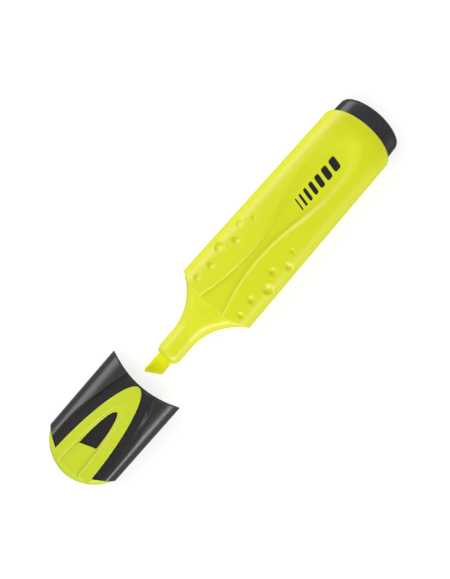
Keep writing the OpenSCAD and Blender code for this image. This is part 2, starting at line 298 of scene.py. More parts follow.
# %% [markdown]
# ## The channel and the dimples
#
# An hourglass channel runs down both wide faces. Its walls are crisp at the waist, where the fingers
# sit, and soft around the wide bowl at the rear, where the print is. Small round dimples on both
# sides of it stop the fingers from sliding.
#
# Both could be cut with booleans or painted as a bump. A cut leaves ragged faces, and a bump casts no
# shadow and has no edge from the side. So the channel is a height that is taken off the sections,
# from the distance inside its edge, and the dimples are cups along the surface's own normal.

# %% Channel
WAIST_X, BOWL_X, END_X = 17.7, 49.0, 64.0
FRONT_W, WAIST_W, BOWL_W = 5.1, 1.8, 5.6
WALL_DEPTH, BOWL_EXTRA, SAG = 0.82, 0.32, 0.12


def channel_w(x):
    """Half-width: a power curve down to the waist, a sine curve up to the bowl, a round end."""
    front = WAIST_W + (FRONT_W - WAIST_W) * np.clip((WAIST_X - x) / (WAIST_X + FRONT_BULGE), 0, None) ** 1.9
    swell = np.sin(np.clip((x - WAIST_X) / (BOWL_X - WAIST_X), 0, 1) * math.pi / 2) ** 2.3
    end = np.sqrt(np.clip(1 - np.clip((x - BOWL_X) / (END_X - BOWL_X), 0, 1) ** 2.4, 0, 1))
    rear = np.where(x < BOWL_X, WAIST_W + (BOWL_W - WAIST_W) * swell, BOWL_W * end)
    return np.where(x < WAIST_X, front, rear)


def channel_soft(x):
    """Half the width of the sloping wall: narrow at the front and waist, broad round the bowl."""
    return 0.34 + 0.2 * smooth(x, 2, 18) + 1.05 * smooth(x, 22, 50)


def channel_cut(x, y):
    """How far the channel lies below the face: a smooth step at its edge, deeper in the bowl, and a
    little sag towards its middle. Past the bowl's middle the distance to the edge is worked out from
    the ellipse-like curve (y/w)^2 + (x/l)^2.4 = 1."""
    side = channel_w(x) - np.abs(y)
    past = np.clip((x - BOWL_X) / (END_X - BOWL_X), 0, None)
    bowl = BOWL_W * (1 - np.sqrt((y / BOWL_W) ** 2 + past ** 2.4))
    inside = np.where(x > BOWL_X, bowl, side)
    soft = channel_soft(x)
    depth = WALL_DEPTH + BOWL_EXTRA * smooth(x, 18, 45)
    return depth * smooth(inside, -soft, soft) + SAG * smooth(inside, 0, 4)


print("channel depth at the waist and in the bowl:",
      channel_cut(np.array([WAIST_X, BOWL_X]), np.zeros(2)).round(2), "mm")

# %% Dimples
DIMPLES = np.array([[27, 8.0, 0.8], [22.6, 10.4, 1.15], [18.2, 7.7, 1.25],       # x, y, radius
                    [13, 10.2, 1.55], [7.2, 8.4, 1.2], [1.35, 9.05, 0.95]])
CUP_WIDEN, CUP_DEPTH = 1.05, 0.5


def dimple_cut(x, y, z):
    """Depth of the grip dimples, which are the same on both wide faces and both sides of the channel.
    Each is a cup CUP_DEPTH r (1 - d^2)^0.65, d being the distance to its centre on the surface over
    its slightly widened radius."""
    cut = np.zeros(x.shape)
    for at_x, at_y, r in DIMPLES:
        f = at_y / half_w(at_x)
        at_z = HALF_T * (1 - f ** BODY_N) ** (1 / BODY_N)
        d = np.sqrt((x - at_x) ** 2 + (np.abs(y) - at_y) ** 2 + (np.abs(z) - at_z) ** 2) / (CUP_WIDEN * r)
        cut = np.maximum(cut, CUP_DEPTH * r * np.clip(1 - d ** 2, 0, None) ** 0.65)
    return cut


print(4 * len(DIMPLES), "dimples, the deepest", CUP_DEPTH * DIMPLES[:, 2].max(), "mm")

# %% [markdown]
# ## The barrel, nose and nozzle
#
# Barrel, nose and nozzle are one hollow moulding, so they are one closed skin. Separate shells that
# run into each other would be easier, but would show a seam. The sections start at the nozzle's
# mouth, run back along the outside to the rear rim, turn over it and come back along the inside.
#
# The flare from the nozzle to the shoulder is a concave arc when seen from above. From the side it
# only has to reach the thickness that slides inside the cap, so it is flatter there.

# %% Flare
NOZZLE_R, FLARE_R, FLARE_X = 4.06, 19.0, -16.5
NOSE_W, NOSE_T = 12.5, 5.95


def flare(x):
    """Radius of the flare: the nozzle's radius plus a concave arc of radius FLARE_R."""
    s = np.clip(x - FLARE_X, 0, FLARE_R * 0.95)
    return NOZZLE_R + FLARE_R - np.sqrt(FLARE_R ** 2 - s ** 2)


print("flare radius at the nozzle and at the shoulder:", NOZZLE_R, round(float(flare(0.0)), 2), "mm")


def soft_min(a, b, k):
    """The smaller of two values, rounded over a width of k where they cross."""
    h = np.clip(0.5 + (b - a) / (2 * k), 0, 1)
    return b * (1 - h) + a * h - k * h * (1 - h)


# %% Nose sections
def nose_rows(count, inset=0.0):
    """Sections from the nozzle's chamfer to the foot of the shoulder step, taken in by inset.

    Their planes bend into the front arc over the last 9 mm, so a section's widest point lies behind
    its middle. Its half-width is the flare's there, found by repeating x = mid + bend, a = flare(x)."""
    mid = np.linspace(-22.0, -FRONT_BULGE, count)
    bend = smooth(mid, -12, -FRONT_BULGE)
    a = flare(mid)
    for _ in range(12):
        a = soft_min(flare(mid + bend * (front_arc(a) + FRONT_BULGE)), NOSE_W, 0.5)
    b = soft_min(flare(mid), NOSE_T, 1.2)
    n = 2 + 0.8 * smooth(mid, -15, -4)
    return mid, bend, a - inset, b - inset, n


def nose_skin(count, inset=0.0):
    """The nose's rings as x, y and z grids."""
    mid, bend, a, b, n = nose_rows(count, inset)
    y, z = ring(*quarter(a, b, n, 0.40 * a, 0.44 * a))
    x = column(mid) + column(bend) * (front_arc(y) + FRONT_BULGE)
    return x, y, z


nose_outside = nose_skin(90)
print("nose:", nose_outside[0].shape[0], "sections,", round(2 * float(nose_outside[1].max()), 1), "mm wide")


# %% Barrel sections
def body_rings(share, inset, shift):
    """Barrel rings at shares 0 to 1 of the way from the front arc to the rear arc, taken in by inset
    and moved along by shift. A ring follows the arcs, so its x depends on y: three rounds settle it."""
    share, inset, shift = column(share), column(inset), column(shift)
    x_mid = (1 - share) * -FRONT_BULGE + share * REAR_X
    x = x_mid
    for _ in range(4):
        edge = channel_w(np.minimum(x_mid, 61.5))
        soft = channel_soft(x_mid)
        low = np.maximum(edge - soft, 0.55)
        high = np.maximum(edge + soft, low + 0.5)
        a, b = half_w(x_mid) - inset, half_thick(x_mid) - inset
        y, z = ring(*quarter(a[:, 0], b[:, 0], np.full(len(a), BODY_N), low[:, 0], high[:, 0]))
        x = (1 - share) * front_arc(y) + share * rear_arc(y) + shift
        x_mid = np.clip((1 - share) * -FRONT_BULGE + share * REAR_X, None, REAR_X)
    return x, y, z, a, b


def barrel_outside():
    """Outside of the barrel between its front and rear arcs, with rounded rims, channel and dimples:
    x, y, z and how worn each point is, which is most along the rims and the channel's crisp edge."""
    rim_r, step_r, rounds = 0.55, 0.28, 6
    front_turn = np.linspace(0, 1, rounds) * math.pi / 2
    rear_turn = front_turn[1:]
    share = np.concatenate([np.zeros(rounds), np.linspace(0, 0.42, 150)[1:], np.linspace(0.42, 1, 110)[1:],
                            np.ones(rounds - 1)])
    between = slice(rounds, 1 - rounds)
    plain = np.zeros(len(share) - 2 * rounds + 1)
    inset = np.concatenate([step_r * (1 - np.sin(front_turn)), plain, rim_r * (1 - np.cos(rear_turn))])
    shift = np.concatenate([step_r * (1 - np.cos(front_turn)), plain, rim_r * np.sin(rear_turn) - rim_r])
    shift[between] = step_r * (1 - smooth(share[between], 0, 0.05)) - rim_r * smooth(share[between], 0.95, 1)
    x, y, z, a, b = body_rings(share, inset, shift)
    ny, nz = normals_of(y, z, a[:, 0], b[:, 0], np.full(len(a), BODY_N))
    on_face = smooth(np.abs(z), 3.5, 5.5)
    z = z - np.sign(z) * channel_cut(x, y) * on_face
    cut = dimple_cut(x, y, z)
    y, z = y - ny * cut, z - nz * cut
    ridge = np.exp(-((channel_w(x) - np.abs(y)) / 0.35) ** 2) * on_face * (x < 30)
    rims = np.exp(-((x - front_arc(y)) / 0.5) ** 2) + np.exp(-((x - rear_arc(y)) / 0.7) ** 2)
    return x, y, z, np.clip(0.5 * ridge + rims, 0, 1)


*body_outside, body_wear = barrel_outside()
print("barrel:", body_wear.shape[0], "sections,", round(2 * float(body_outside[1].max()), 2), "mm wide")


# %% The whole moulding
SLOT_W, SLOT_T = 2.72, 2.02
CAVITY_W = 11.9
WALL = 1.2


def nozzle_mouth():
    """From the slot that holds the nib, over its chamfer, across the nozzle's end and round its edge."""
    lip = np.array([0, 0, 0.08, 0.25])
    edge = [3.4, 3.68, 3.95]
    return flat_rings([-19.5, -23.5, -23.8, -23.9, -23.9, -23.7, -23.2, -22.5],
                      [*(SLOT_W + lip), 3.15, *edge], [*(SLOT_T + lip), 3.1, *edge],
                      [9, 9, 7, 5, 2, 2, 2, 2])


def barrel_inside():
    """From the rear rim along the cavity's wall to its front end."""
    a, b = half_w(REAR_X) - 0.55, half_thick(REAR_X) - 0.55
    y, z = ring(*quarter([a - 0.25, a - 0.6, a - 0.65, 11.1, CAVITY_W, CAVITY_W],
                         [b - 0.1, b - 0.35, b - 0.4, 6.2, 6.2, 5.2], np.full(6, BODY_N)))
    rim = rear_arc(y[:3]) - column([0, 0.15, 1.2])
    return np.concatenate([rim, column([62, 4, 1]) + 0 * y[3:]]), y, z


nose_inside = [grid[::-1][:-2] for grid in nose_skin(20, inset=WALL)]
mouth, inside = nozzle_mouth(), barrel_inside()
barrel_grid = sheet_of(*stack(mouth, nose_outside, body_outside, inside, nose_inside))
barrel_wear = np.concatenate([np.full(mouth[0].shape, 0.6), np.full(nose_outside[0].shape, 0.1), body_wear,
                              np.zeros(inside[0].shape), np.zeros(nose_inside[0].shape)])
barrel = skin("barrel_shell", barrel_grid, PEN, close_rows=True, wear=barrel_wear)
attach(barrel, "pen")
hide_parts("barrel")

# %% [markdown]
# ## The nib
#
# The nib is a bar of pressed felt cut with a slanted, bevelled writing edge. A cut cube would have
# the outline but not the slightly soft corners of felt. Here its sections are nearly rectangular
# (n = 9), and their planes lean more and more towards the front until they follow the edge.

# %% Nib
NIB_W, NIB_T, EDGE_T = 2.65, 1.95, 0.55
NIB_TAIL = -6
LONG_X, SLANT = -31.6, 2.7
NIB_N = 9.0


def writing_edge(y):
    """The edge from above: a straight slant, with both corners cut back over their last bit."""
    slant = LONG_X + SLANT * (2.1 - y) / 4.5
    return slant + 1.5 * np.clip(y - 2.05, 0, None) + 0.9 * np.clip(-y - 2.3, 0, None)


def nib_grid():
    """Sections from inside the nozzle to the writing edge: x = (1 - share) tail + share edge(y). The
    bar thins over the last fifth, and the last sections shrink to a line, which closes the edge."""
    share = np.concatenate([np.linspace(0, 0.8, 24), np.linspace(0.8, 1, 36)[1:], np.ones(12)])
    shrink = np.concatenate([np.ones(59), np.linspace(1, TINY, 13)[1:]])
    half_t = NIB_T - (NIB_T - EDGE_T) * smooth(share, 0.80, 1.0) ** 0.9
    y, z = ring(*quarter(NIB_W * shrink, half_t * shrink, np.full(len(share), NIB_N)))
    x = NIB_TAIL * column(1 - share) + column(share) * writing_edge(y)
    return closed_start(sheet_of(x, y, z))


nib = skin("felt_nib", nib_grid(), PEN, crease=30)
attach(nib, "pen")
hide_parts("nib")

# %% [markdown]
# ## The end plug
#
# The black plug snaps into the rear opening and seals the ink in. Only its rim and its gently curved
# face show. A scaled sphere would be too round, and an extruded outline too sharp. The sides leave
# the barrel inside its rear arc, turn over a small radius, and the face is closed by rings that
# shrink to its middle while they follow the curve of the end.

# %% Plug
PLUG_X, PLUG_DEPTH, PLUG_SPAN = 77.1, 5.6, 11.7
PLUG_A, PLUG_B, PLUG_R = 11.1, 6.75, 1.1
PLUG_DRAFT, PLUG_SWELL, PLUG_SUNK = 0.35, 0.25, 2.2


def plug_end(y):
    """The plug's end from above, half an ellipse."""
    return PLUG_X - PLUG_DEPTH * (1 - np.sqrt(np.clip(1 - (y / PLUG_SPAN) ** 2, 0, 1)))


def plug_grid():
    """Rings along the sides, which lean by the draft, round the rim and over the swollen face, and how
    worn each point is."""
    turn = np.linspace(0, math.pi / 2, 9)
    side = np.linspace(0, 1, 14)[:-1]
    shrink = np.linspace(1, TINY, 26)[1:]
    round_off = PLUG_R * (1 - np.cos(turn))
    a = np.concatenate([PLUG_A + PLUG_DRAFT * (1 - side), PLUG_A - round_off, (PLUG_A - PLUG_R) * shrink])
    b = np.concatenate([PLUG_B + 0 * side, PLUG_B - round_off, (PLUG_B - PLUG_R) * shrink])
    share = np.concatenate([side, np.ones(len(turn) + len(shrink))])
    ahead = np.concatenate([0 * side - PLUG_R, PLUG_R * np.sin(turn) - PLUG_R, 0 * shrink])
    y, z = ring(*quarter(a, b, np.full(len(a), 3.0)))
    swell = PLUG_SWELL * (1 - (z / PLUG_B) ** 2) - PLUG_SWELL
    x = column(1 - share) * (rear_arc(y) - PLUG_SUNK) + column(share) * (plug_end(y) + column(ahead) + swell)
    worn = np.exp(-((column(np.concatenate([[0], a])) - PLUG_A + 0.3) / 0.25) ** 2)
    return closed_start(sheet_of(x, y, z)), worn


plug_sheet, plug_wear = plug_grid()
plug = skin("rear_plug", plug_sheet, PEN, wear=plug_wear)
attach(plug, "pen")
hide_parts("end_plug")

# %% [markdown]
# ## The cap's black sleeve
#
# The sleeve is a thin black moulding that slides over the pen's nose. Its mouth follows the same arc
# as the barrel's front edge, so the two meet when the cap is home. A broad channel for the clip is
# pressed into its upper face and widens away from the mouth; a shorter one on the plain face ends in
# a round bowl. A solid with a thickness modifier would do for the wall, but its mouth's edge would
# be square: here the wall, both edges and the inside are one closed run of sections, as on the
# barrel. Distances t run from the mouth corners towards the closed end, which is -X.

# %% Sleeve proportions
CAP_LEN = 39.0
MOUTH_W, CLOSED_W = 13.7, 13.4
SLEEVE_LEN = 34.4
BEVEL_Y, BEVEL, CORNER_Y, CORNER = 7.7, 0.606, 11, 0.21    # where each slope starts, and its slope
BED_W, BED_SWELL, BED_LEN = 5.5, 4.65, 28
CAP_N = 3.2
CLIP_FLOOR = HALF_T - 1.25
PLAIN_W, PLAIN_LEN, PLAIN_DEPTH = 5.4, 26, 1.15


def cap_half_w(t):
    """Half-width of the cap: a slight taper towards the closed end."""
    return MOUTH_W + (CLOSED_W - MOUTH_W) * t / CAP_LEN


def mouth_arc(y):
    """t of the mouth's edge: the barrel's front arc, measured from the mouth corners."""
    return -front_arc(y)


def sleeve_end(y):
    """t of the closed end: straight across the middle, then bevelled back to the sides."""
    y = np.abs(y)
    return SLEEVE_LEN - BEVEL * np.clip(y - BEVEL_Y, 0, None) - CORNER * np.clip(y - CORNER_Y, 0, None)


def clip_bed_w(t):
    """Half-width of the channel that the clip lies in: it swells by a power curve up to BED_LEN."""
    return BED_W + BED_SWELL * (1 - np.clip(1 - t / BED_LEN, 0, 1) ** 1.6)


print("clip's channel:", round(float(2 * clip_bed_w(0.0)), 1), "mm wide at the mouth and",
      round(float(2 * clip_bed_w(BED_LEN)), 1), "mm at its widest")

# %% Sleeve skin
def sleeve_outside():
    """Outside of the sleeve from its mouth edge to its closed end, with both channels pressed in:
    t, y, z and how worn each point is. The clip's bed cuts the top down to a nearly level floor. The
    plain face's bowl gets its depth from the distance inside (y/w)^2 + (t/l)^2.2 = 1."""
    edge_r, rounds = 0.22, 5
    turn = np.linspace(0, math.pi / 2, rounds)
    share = np.concatenate([np.zeros(rounds), np.linspace(0, 1, 170)[1:-1], np.ones(rounds)])
    plain = np.zeros(len(share) - 2 * rounds)
    inset = np.concatenate([edge_r * (1 - np.sin(turn)), plain, edge_r * (1 - np.cos(turn))])
    shift = np.concatenate([edge_r * (1 - np.cos(turn)), plain, edge_r * (np.sin(turn) - 1)])
    share, inset, shift = column(share), column(inset), column(shift)
    t_mid = (1 - share) * FRONT_BULGE + share * SLEEVE_LEN
    bed = clip_bed_w(t_mid)[:, 0]
    a, b = (cap_half_w(t_mid) - inset)[:, 0], (HALF_T - inset)[:, 0]
    y, z = ring(*quarter(a, b, np.full(len(a), CAP_N), bed - 0.35, bed + 0.35))
    t = (1 - share) * mouth_arc(y) + share * sleeve_end(y) + shift
    top, under = smooth(z, 1.5, 3.0), smooth(-z, 3.0, 5.0)
    soft = np.where(y > 0, 0.30 + 0.4 * smooth(t, 8, 24), 0.30 + 1.9 * smooth(t, 2, 20))
    inside_top = smooth(clip_bed_w(t) - np.abs(y), -soft, soft)
    floor_z = CLIP_FLOOR - 0.25 * smooth(t, 3, 20) - 0.004 * y ** 2
    z = np.where(z > 0, z + (np.minimum(floor_z, z) - z) * inside_top * top, z)
    bowl = PLAIN_W * (1 - np.sqrt((y / PLAIN_W) ** 2 + np.clip(t / PLAIN_LEN, 0, None) ** 2.2))
    z = z + PLAIN_DEPTH * smooth(bowl, -0.5, 0.7) * under * (1 - 0.35 * smooth(t, 4, 24))
    worn = np.exp(-((t - mouth_arc(y)) / 0.6) ** 2) + 0.5 * np.exp(-((sleeve_end(y) - t) / 0.6) ** 2)
    ridge = 0.35 * np.exp(-((clip_bed_w(t) - np.abs(y)) / 0.3) ** 2) * top
    return t, y, z, np.clip(worn + ridge, 0, 1)


def sleeve_inside():
    """Inside of the sleeve from its closed end back to its mouth."""
    y, z = ring(*quarter([12.3, 12.3, 12.4, 12.45, 12.7], [6.35, 6.35, 6.35, 6.35, 6.5], np.full(5, CAP_N)))
    t = np.concatenate([sleeve_end(y[:1]) - 0.5, column([28, 8]) + 0 * y[1:3],
                        mouth_arc(y[3:]) + column([0.9, 0.12])])
    return t, y, z


out_t, out_y, out_z, sleeve_wear = sleeve_outside()
in_t, in_y, in_z = sleeve_inside()
sleeve_grid = sheet_of(*stack((-out_t, out_y, out_z), (-in_t, in_y, in_z)))
sleeve_wear = np.concatenate([sleeve_wear, 0 * in_t])
sleeve = skin("cap_sleeve", sleeve_grid, CAP, close_rows=True, wear=sleeve_wear)
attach(sleeve, "cap")
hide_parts("cap_shell")

# %% [markdown]
# ## The cap's yellow end
#
# The cap is closed by a yellow end, moulded in one with the clip. It is a dome: an arc of a circle
# from above, with a flat top that rolls over to the end. A raised band across it carries the roots
# of the clip's legs, and the recess between the legs runs out over it. Half a squashed sphere would
# come near, but its side view would be round. So it is lofted too: its first sections bend along the
# sleeve's bevelled end and hide just inside it, and the later ones shrink along the circle.

# %% Recess between the clip's legs
PAN_W, PAN_BASE, PAN_LEN = 4.0, 37, 26.2


def pan_depth(t, y):
    """Depth of the recess round the window: it narrows as a half-ellipse to its tip, ahead of the
    window's own, gets shallower towards that tip, and runs out past the crease."""
    width = PAN_W * np.sqrt(np.clip(1 - (np.clip(PAN_BASE - t, 0, None) / PAN_LEN) ** 2, 0, 1))
    inside = smooth(width - np.abs(y - 0.25), -0.25, 0.3)
    return (0.3 + 0.3 * smooth(t, 20, 27.5)) * inside * smooth(t, 10.5, 13) * (1 - smooth(t, 36.0, 38.4))


print("recess behind the window:", round(float(pan_depth(30.0, 0.0)), 2), "mm deep")

# %% Dome
DOME_R, DOME_MID = 14.2, 24.8
CREASE_T = 36.3
DOME_SUNK, DOME_FALL = 0.2, 3.2
ROOT_W, ROOT_RISE = 7.45, 1.05
CUP_END = 33.6


def bent(mid, y):
    """t over a dome section: along the sleeve's bevelled end at first, straight across later on."""
    follow = 1 - smooth(mid, SLEEVE_LEN, SLEEVE_LEN + 4)
    return mid - follow * (SLEEVE_LEN - sleeve_end(y))


def dome_half_w(mid):
    """Half-width of the dome: the chord of a circle of radius DOME_R at the section's own side."""
    a = np.full(mid.shape, 10.0)
    for _ in range(30):
        a = 0.5 * a + 0.5 * np.sqrt(np.clip(DOME_R ** 2 - (bent(mid, a) - DOME_MID) ** 2, 0, None))
    return a


def dome_half_t(t):
    """Half-thickness: level as far as the crease, then an arc that falls DOME_FALL to the end."""
    past = np.clip((t - CREASE_T) / (CAP_LEN - CREASE_T), 0, 1)
    return HALF_T - DOME_SUNK - DOME_FALL * (1 - np.sqrt(np.clip(1 - past ** 1.7, 0, 1))) - 0.35 * past


def root_band(t, y):
    """Height of the band that carries the clip, over the dome: sunk under the clip up to the crease,
    then level with it, with the same recess between the legs, and running out over the end."""
    width = ROOT_W + 0.12 * np.clip(t - SLEEVE_LEN, 0, None) ** 1.5
    on_band = 1 - smooth(np.abs(y), width - 0.35, width + 0.35)
    level = ROOT_RISE * smooth(t, CREASE_T - 0.5, CREASE_T) - pan_depth(t, y)
    return on_band * level * (1 - smooth(t, CREASE_T + 0.4, CAP_LEN))


print("dome from t =", SLEEVE_LEN, "to", DOME_MID + DOME_R, "mm")

# %% Dome skin
def dome_grid(seen_count=90, hidden=4):
    """A hidden shoulder inside the sleeve, a small rounded step out to its end, then sections spread
    evenly along the circle, so that they gather where the dome closes."""
    start = math.asin((SLEEVE_LEN + 0.02 - DOME_MID) / DOME_R)
    mid = DOME_MID + DOME_R * np.sin(np.linspace(start, math.pi / 2, seen_count))
    all_mid = np.concatenate([np.full(3, CUP_END + 0.05), np.full(hidden, mid[0]), mid[1:]])
    step = np.concatenate([[0.2, 0.1], np.zeros(seen_count)])
    order = [0, 0, *range(seen_count)]
    a = np.concatenate([[7.0, 12.1, 12.1, 12.1], dome_half_w(mid)[order] - step])
    a[-1] = TINY
    y, unit_z = ring(*quarter(a, np.ones(len(a)), np.full(len(a), CAP_N),
                              np.minimum(7.2, 0.6 * a), np.minimum(7.9, 0.66 * a)))
    seen = column(np.arange(len(a)) >= hidden)
    taken = column(np.concatenate([[3.6, 6.1, 6.1, 6.1], step]))
    t = bent(column(all_mid), y)
    z = unit_z * np.where(seen, dome_half_t(t) - taken, taken)
    z = z + root_band(t, y) * smooth(z, 2.5, 4.5) * seen
    return closed_start(sheet_of(-t, y, z))


dome = skin("cap_dome", dome_grid(), CAP)
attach(dome, "cap")
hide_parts("cap_end")

# %% [markdown]
# ## The clip
#
# The clip holds the pen on a pocket. It is a strip of plastic that makes a long loop round a window.
# A flat outline with a hole could be extruded and bevelled, but its top swells and carries a recess.
# So it is swept round the window: at every angle a small closed section runs from the window's edge
# to the clip's outer edge, over the top with rounded shoulders and back underneath. Both edges are
# curves of the same angle, so the sections join into a ring. The real clip springs by bending at its
# root.

# %% Clip outlines
TIP_T, CLIP_END = 3.25, CREASE_T - 0.05
CLIP_W = 7.42
WINDOW_TIP, WINDOW_BASE, WINDOW_W = 13.7, 27.4, 2.65


def loop(tip, base, half, lean, shift, corner, power=1.73, count=360):
    """A closed outline round a pointed arch: half of its points run from the tip along the +Y side to
    the base corner and across the base, and the other half come back along the -Y side. Its width
    is half (1 - (1 - u)^power)^(1/2), u going from 0 at the tip to 1 at the base."""
    k = np.linspace(0, 1, count // 2 + 1)
    along = np.clip(k / corner, 0, 1) ** 1.6
    inward = np.clip((k - corner) / (1 - corner), 0, 1)
    t = tip + (base - tip) * along
    w = half * np.sqrt(np.clip(1 - (1 - along) ** power, 0, 1)) * (1 - inward)
    plus = np.stack([t + lean * w / half * (k > 0) * along, shift + w], axis=1)
    minus = np.stack([t - lean * w / half * along, shift - w], axis=1)
    return np.concatenate([plus, minus[-2:0:-1]])


outer = loop(TIP_T, CLIP_END, CLIP_W, lean=0.0, shift=0.0, corner=0.80)
inner = loop(WINDOW_TIP, WINDOW_BASE, WINDOW_W, lean=1.0, shift=0.3, corner=0.80)
print("clip outline of", len(outer), "points, window", round(WINDOW_BASE - WINDOW_TIP, 1), "mm long")

# %% Clip skin
CLIP_LOW = HALF_T - 1.2 + 0.5    # half a millimetre over the floor of the solid's channel
CLIP_T = 1.6
CROWN = 0.12
SHOULDER, ROOT_SHOULDER = 0.5, 0.06


def round_edges(s, width, r):
    """Height lost at a strip's shoulders: a quarter circle of radius r within r of either edge."""
    near = np.minimum(s, 1 - s) * width
    return r - np.sqrt(np.clip(r ** 2 - np.clip(r - near, 0, r) ** 2, 0, None))


def clip_grid(steps=34):
    """Sections from the window's edge to the outer edge over the top and back underneath. At the root
    the shoulder is nearly square, because the clip runs straight on into the dome there."""
    ease = 0.5 - 0.5 * np.cos(np.linspace(0, math.pi, steps))
    across = np.concatenate([ease, ease[::-1][1:-1]])[None, :]
    is_top = np.arange(across.size)[None, :] < steps
    points = inner[:, None, :] * (1 - across[..., None]) + outer[:, None, :] * across[..., None]
    t, y = points[..., 0], points[..., 1]
    width = np.linalg.norm(outer - inner, axis=1)[:, None]
    at_root = smooth(outer[:, :1], 34.9, 36.0) * smooth(7.2 - np.abs(outer[:, 1:]), 0, 0.9)
    lost = round_edges(across, width, SHOULDER - (SHOULDER - ROOT_SHOULDER) * at_root)
    crown = CROWN * np.clip(1 - (y / 7.4) ** 2, 0, 1) - CROWN
    top = CLIP_LOW + CLIP_T + crown - lost - pan_depth(t, y)
    return sheet_of(-t, y, np.where(is_top, top, CLIP_LOW + np.minimum(lost, CROWN)))


clip = skin("spring_clip", clip_grid(), CAP, close_rows=True, crease=45)
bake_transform(clip)
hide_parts("clip")

# %% [markdown]
# ## The inner cup
#
# A soft pale cup inside the cap closes round the nozzle, so that the ink doesn't dry. It shows only
# through the mouth. It is a turned shape, so a screw modifier could spin its profile. The helper for
# round sections does the same here: a profile of radius against length, carried round the axis.

# %% Inner cup
cup_t = np.array([32.6, 32.6, 20.0, 17.0, 16.5, 16.3, 16.35, 16.7, 20.0, 24.0, 24.2, CUP_END - 0.1,
                  CUP_END, CUP_END])
cup_r = np.array([TINY, 4.1, 4.12, 4.15, 4.3, 4.6, 4.95, 5.2, 5.25, 5.27, 5.28, 5.28, 5.1, TINY])
cup_grid = sheet_of(*flat_rings(-cup_t, cup_r, cup_r, np.full(len(cup_t), 2.0)))
cup = skin("inner_cup", cup_grid, CAP, crease=30)
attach(cup, "cap")
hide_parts("cap_liner")

# %% [markdown]
# ## A printed mark
#
# The real pen carries printed lettering in the bowl of the channel. A plain sign takes its place: a
# row of slanted strokes that get thicker, as a hint at line widths. It could be an image laid over
# the barrel, but pad-printed ink has a crisp edge and hardly any thickness. So each stroke is a thin
# skin of ink that follows the bowl, three hundredths of a millimetre proud of it.

# %% Ink strokes
INK_PROUD, INK_SUNK = 0.03, 0.15
STROKE_COUNT, STROKE_START, STROKE_GAP, STROKE_HALF = 7, 38.6, 1.2, 2.1
THINNEST, THICKER_BY = 0.5, 0.36


def face_z(x, y):
    """Height of the barrel's upper face over a point: the superellipse less the channel."""
    f = np.abs(y) / half_w(x)
    return half_thick(x) * (1 - f ** BODY_N) ** (1 / BODY_N) - channel_cut(x, y)


def stroke(x0, width, half=STROKE_HALF, slant=0.22, count=52, rings=9):
    """A round-ended stroke as a closed skin: its outline is the ellipse-like loop |u|^5 + |v|^5 = 1,
    filled by rings that grow from its middle on the face and shrink to it again underneath."""
    turn = np.linspace(0, 2 * math.pi, count, endpoint=False)[None, :]
    r = (np.abs(np.cos(turn)) ** 5 + np.abs(np.sin(turn)) ** 5) ** (-1 / 5)
    size = np.concatenate([np.linspace(0, 1, rings), np.linspace(1, 0, rings)])[:, None]
    y = size * r * np.sin(turn) * half
    x = x0 + size * r * np.cos(turn) * width / 2 + slant * (y + half)
    lift = np.where(np.arange(2 * rings) < rings, INK_PROUD, -INK_SUNK)[:, None]
    return sheet_of(x, y, face_z(x, y) + lift)


strokes = []
stroke_x = STROKE_START
for number in range(STROKE_COUNT):
    thick = THINNEST + THICKER_BY * number
    strokes.append(skin(f"ink_stroke_{number + 1}", stroke(stroke_x + thick / 2, thick), PEN))
    stroke_x += thick + STROKE_GAP
for piece in strokes:
    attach(piece, "pen")

# %% [markdown]
# ## Shader maths as expressions
#
# A material is a small program drawn as linked nodes. Adding and linking each one by hand takes many
# lines that hide the sum they make. This class wraps one socket, so that a + b or 1 - mask adds the
# Math nodes. Every other node comes from one method that sets its properties and its inputs.

# %% Wire
class Wire:
    """One output socket of a material's node tree."""

    def __init__(self, tree, socket):
        self.tree = tree
        self.socket = socket

    def node(self, kind, settings=None, inputs=None, output=0):
        """Adds a node of a type, with its settings first, then values or wires for its sockets."""
        made = self.tree.nodes.new(kind)
        for key, value in (settings or {}).items():
            setattr(made, key, value)
        for key, value in (inputs or {}).items():
            if isinstance(value, Wire):
                self.tree.links.new(value.socket, made.inputs[key])
            else:
                made.inputs[key].default_value = value
        return Wire(self.tree, made.outputs[output])

    def math(self, operation, a, b):
        """A Math node on two wires or numbers."""
        return self.node("ShaderNodeMath", {"operation": operation}, {0: a, 1: b})

    def __add__(self, other):
        return self.math("ADD", self, other)

    def __radd__(self, other):
        return self.math("ADD", other, self)

    def __sub__(self, other):
        return self.math("SUBTRACT", self, other)

    def __rsub__(self, other):
        return self.math("SUBTRACT", other, self)

    def __mul__(self, other):
        return self.math("MULTIPLY", self, other)

    def __rmul__(self, other):
        return self.math("MULTIPLY", other, self)

    def band(self, low, high):
        """0 below low and 1 above high, with a smooth step between them."""
        return self.node("ShaderNodeMapRange", {"interpolation_type": "SMOOTHSTEP"},
                         {"Value": self, "From Min": low, "From Max": high})

    def noise(self, scale, detail=2.0, roughness=0.5):
        """Noise over this position in millimetres, with features of about 1 / scale."""
        return self.node("ShaderNodeTexNoise", {}, {"Vector": self, "Scale": scale, "Detail": detail,
                                                    "Roughness": roughness})

    def stretched(self, x, y, z):
        """This position scaled along each axis, so that noise over it turns into streaks."""
        return self.node("ShaderNodeVectorMath", {"operation": "MULTIPLY"}, {0: self, 1: (x, y, z)})

    def mix(self, first, second):
        """A colour between first and second, with this wire as the share of second."""
        return self.node("ShaderNodeMix", {"data_type": "RGBA"}, {0: self, 6: first, 7: second}, output=2)

    def bump(self, distance):
        """Turns this height into a normal, distance being the size of a height of 1 in metres."""
        return self.node("ShaderNodeBump", {}, {"Height": self, "Distance": distance, "Strength": 1.0})


print("maths on wires:", [name.strip("_") for name in vars(Wire) if name.startswith("__r")])


